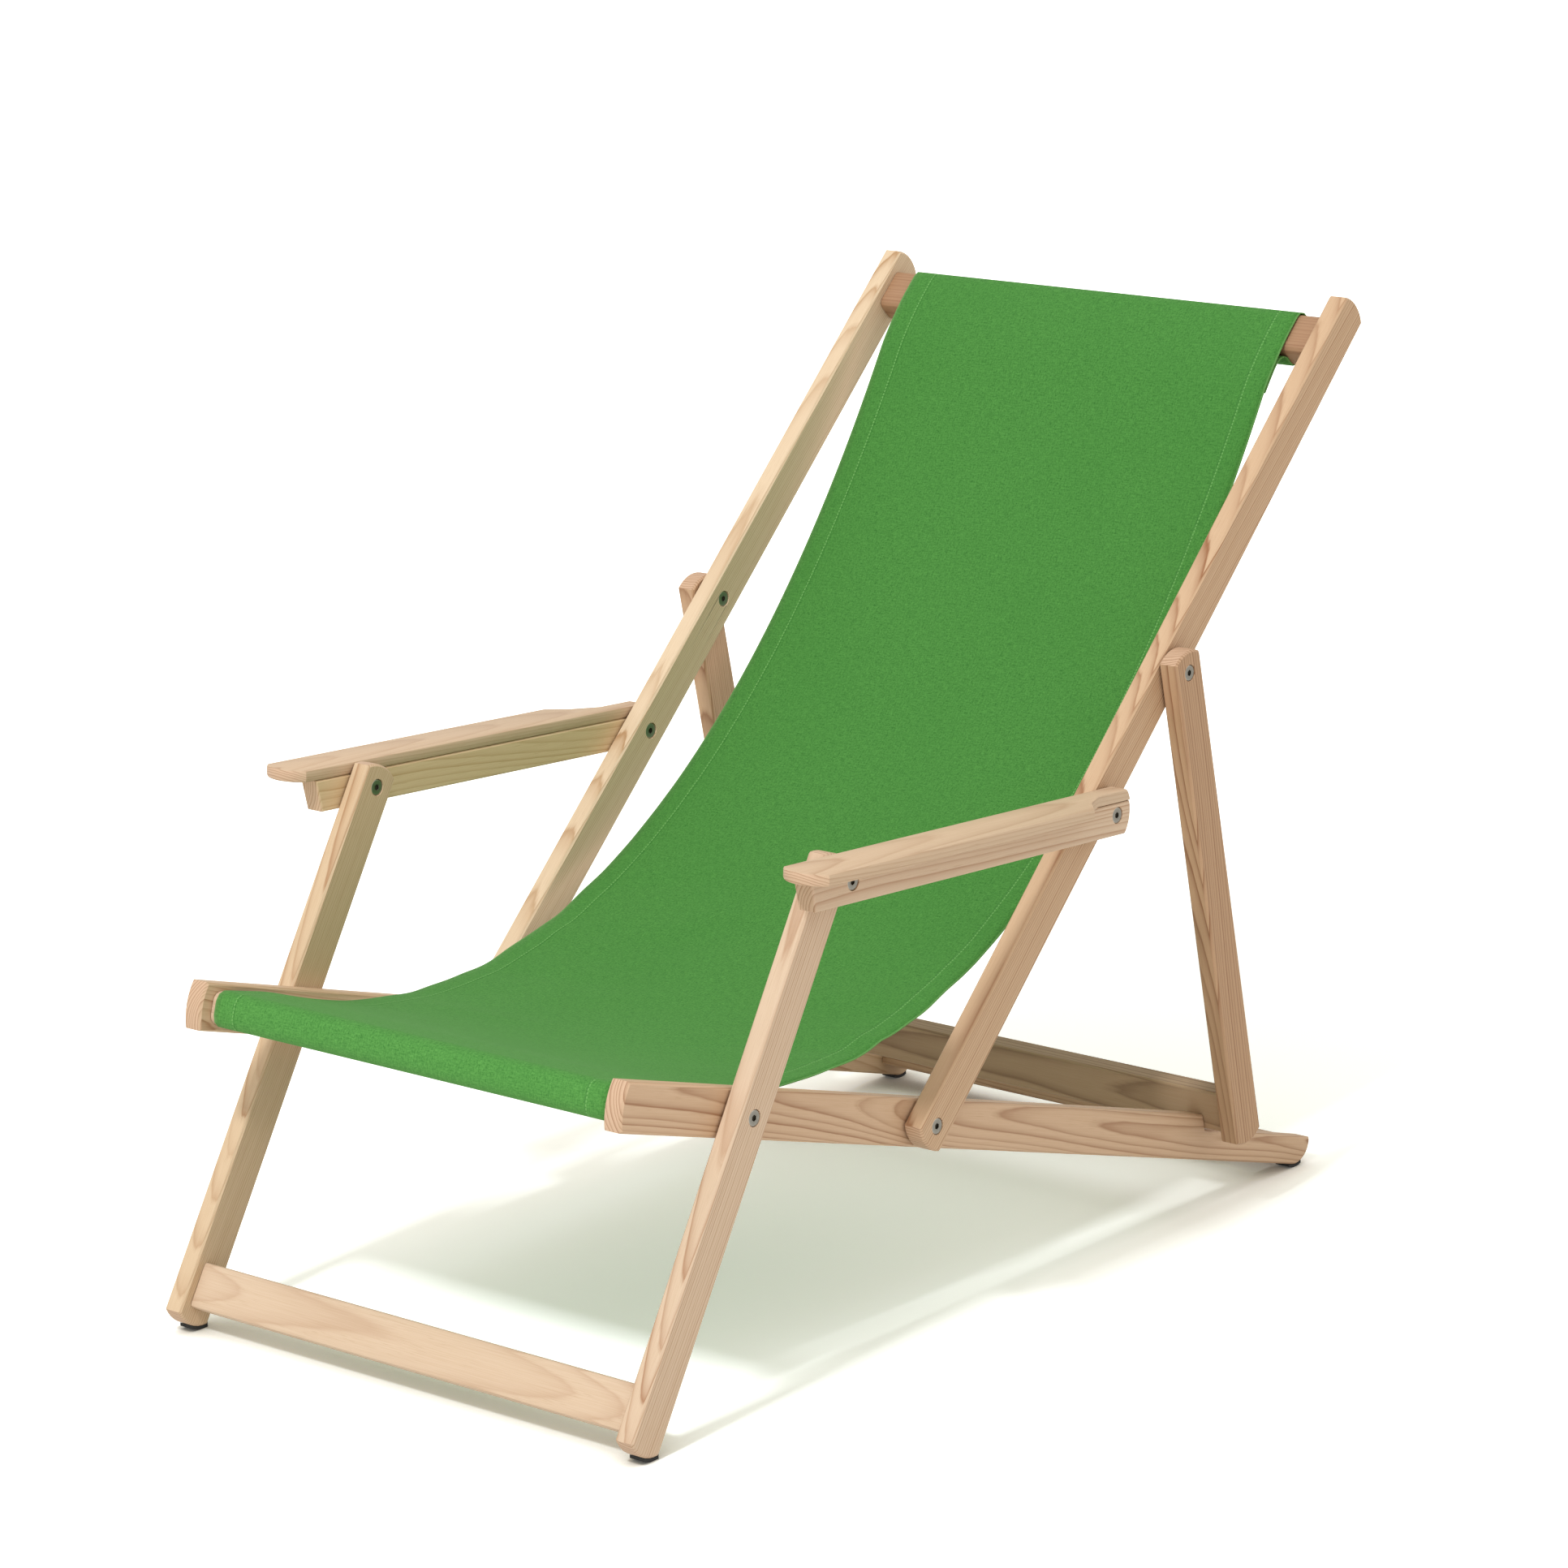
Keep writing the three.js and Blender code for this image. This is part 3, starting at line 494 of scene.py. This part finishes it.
# soft creases where the cloth turns from seat to back, and slack waves along its two free edges
pos = np.zeros(len(me.vertices) * 3)
me.vertices.foreach_get("co", pos)
pos = pos.reshape(NV, NU, 3)
way = np.gradient(pos[:, NU // 2, 1:], axis=0)
way /= np.linalg.norm(way, axis=1)[:, None]
out = np.stack([-way[:, 1], way[:, 0]], 1)
U, V = np.meshgrid(xs + HALF, run)
lift = np.zeros_like(U)
crease = random.Random(5)
for k in range(26):
    side = crease.random() < 0.7
    cu = (crease.uniform(0.02, 0.11) if crease.random() < 0.5 else 2 * HALF - crease.uniform(0.02, 0.11)) if side else crease.uniform(0.1, 0.36)
    cv = crease.gauss(0.60, 0.14)
    th = crease.gauss(0.0, 0.35) * (1 if cu < HALF else -1)
    ln, wd, am = crease.uniform(0.05, 0.11), crease.uniform(0.010, 0.022), crease.choice((-1, 1)) * crease.uniform(0.4, 1.3) / 1000
    du, dv = U - cu, V - cv
    lift += am * np.exp(-(((du * math.cos(th) + dv * math.sin(th)) / ln) ** 2) - ((-du * math.sin(th) + dv * math.cos(th)) / wd) ** 2)
inset = np.minimum(U, 2 * HALF - U)
phase = np.where(U < HALF, 0.4, 1.9)
bend = np.exp(-(((V - 0.52) / 0.16) ** 2))
lift += np.exp(-inset / 0.026) * 0.0008 * bend * (np.sin(V * 2 * math.pi / 0.103 + phase) + 0.6 * np.sin(V * 2 * math.pi / 0.057 + 2.3 * phase))
lift += 0.0016 * np.exp(-(((V - 0.152) / 0.010) ** 2)) * (0.6 + 0.4 * np.sin(U * 9))
lift *= (1 - np.clip(hold, 0, 1))[:, None]
pos[:, :, 1] += lift * out[:, 0][:, None]
pos[:, :, 2] += lift * out[:, 1][:, None]
me.vertices.foreach_set("co", pos.astype(np.float32).ravel())
me.update()

CANVAS = canvas()
me.materials.append(CANVAS)
solid = cloth.modifiers.new("ply", "SOLIDIFY")
solid.thickness = 0.0011
solid.offset = 0
solid.use_rim = True
bpy.context.view_layer.update()
dg = bpy.context.evaluated_depsgraph_get()
final = bpy.data.meshes.new_from_object(cloth.evaluated_get(dg))
cloth.modifiers.clear()
cloth.vertex_groups.clear()
cloth.data = final
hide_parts("sling")
a = P(112.5, 479.8)
b = P(985.2, 457.0)
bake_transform(cloth)

# ---- floor, light, camera --------------------------------------------------------------------------
fm = bpy.data.meshes.new("floor")
fm.from_pydata([(-60, -60, 0), (60, -60, 0), (60, 60, 0), (-60, 60, 0)], [], [(0, 1, 2, 3)])
floor = bpy.data.objects.new("floor", fm)
scene.collection.objects.link(floor)
ft = Tree("floor_white")
fco = ft.put("ShaderNodeTexCoord")
fn = ft.noise(fco.outputs["Object"], 3.0, 2.0)
far = ft.ramp(ft.math("DIVIDE", ft.vmath("LENGTH", fco.outputs["Object"]).outputs["Value"], 6.0), [(0.0, 0.0), (0.25, 0.0), (0.6, 1.0)])
glow = ft.put("ShaderNodeLightPath")
# painted contact shade: for camera rays the floor colour is darkened by ambient occlusion close to the chair, such as
# the dark strip under the front stretcher and round the feet
near = ft.put("ShaderNodeAmbientOcclusion", Distance=0.11)
near.samples = 8
painted_contact_shade = ft.mix(ft.ramp(near.outputs["AO"], [(0.0, 0.0), (0.25, 0.10), (0.75, 0.85), (1.0, 1.0)]), (0.50, 0.47, 0.38), (1.36, 1.37, 1.31))
fm.materials.append(ft.done(Base_Color=ft.mix(glow.outputs["Is Camera Ray"], ft.mix(fn, (0.86, 0.865, 0.845), (0.845, 0.85, 0.83)), painted_contact_shade), Roughness=0.85, Specular_IOR_Level=0.1, Emission_Color=(1, 1, 1, 1), Emission_Strength=ft.math("MULTIPLY", glow.outputs["Is Camera Ray"], ft.math("ADD", 0.05, ft.math("MULTIPLY", far, 0.6)))))

world = bpy.data.worlds.new("studio")
scene.world = world
world.use_nodes = True
bg = world.node_tree.nodes["Background"]
bg.inputs["Color"].default_value = (1.0, 0.985, 0.955, 1)
bg.inputs["Strength"].default_value = 0.86
seen = world.node_tree.nodes.new("ShaderNodeBackground")
seen.inputs["Color"].default_value = (1.0, 1.0, 1.0, 1)
seen.inputs["Strength"].default_value = 1.05
path = world.node_tree.nodes.new("ShaderNodeLightPath")
pick = world.node_tree.nodes.new("ShaderNodeMixShader")
world.node_tree.links.new(path.outputs["Is Camera Ray"], pick.inputs[0])
world.node_tree.links.new(bg.outputs[0], pick.inputs[1])
world.node_tree.links.new(seen.outputs[0], pick.inputs[2])
world.node_tree.links.new(pick.outputs[0], world.node_tree.nodes["World Output"].inputs["Surface"])


def area(name, at, to, size, power, color=(1, 1, 1)):
    d = bpy.data.lights.new(name, "AREA")
    d.shape = "RECTANGLE"
    d.size, d.size_y = size
    d.energy = power
    d.color = color
    o = bpy.data.objects.new(name, d)
    scene.collection.objects.link(o)
    o.location = at
    o.rotation_euler = (Vector(to) - Vector(at)).to_track_quat("-Z", "Y").to_euler()
    return o


area("key", (0.56, -4.30, 5.39), (0, 0, 0.3), (0.7, 0.7), 220, (0.95, 0.985, 1.05))

cam_data = bpy.data.cameras.new("camera")
cam = bpy.data.objects.new("camera", cam_data)
scene.collection.objects.link(cam)
az, el, turn = math.radians(39.215), math.radians(13.165), math.radians(-0.796)
back = Vector((math.sin(az) * math.cos(el), -math.cos(az) * math.cos(el), math.sin(el)))
right = Vector((math.cos(az), math.sin(az), 0))
up = back.cross(right)
spin = Matrix.Rotation(turn, 3, "X")
back, right, up = spin @ back, spin @ right, spin @ up
m = Matrix((right, up, back)).transposed().to_4x4()
m.translation = Vector((3.008, -3.13646 - Y_MID, 1.60813))
cam.matrix_world = m
cam_data.sensor_width = 36
cam_data.lens = 36 * 6491.2 / 1932
cam_data.clip_end = 200
scene.camera = cam
scene.view_settings.view_transform = "Standard"
scene.view_settings.look = "None"
scene.view_settings.exposure = 0.0
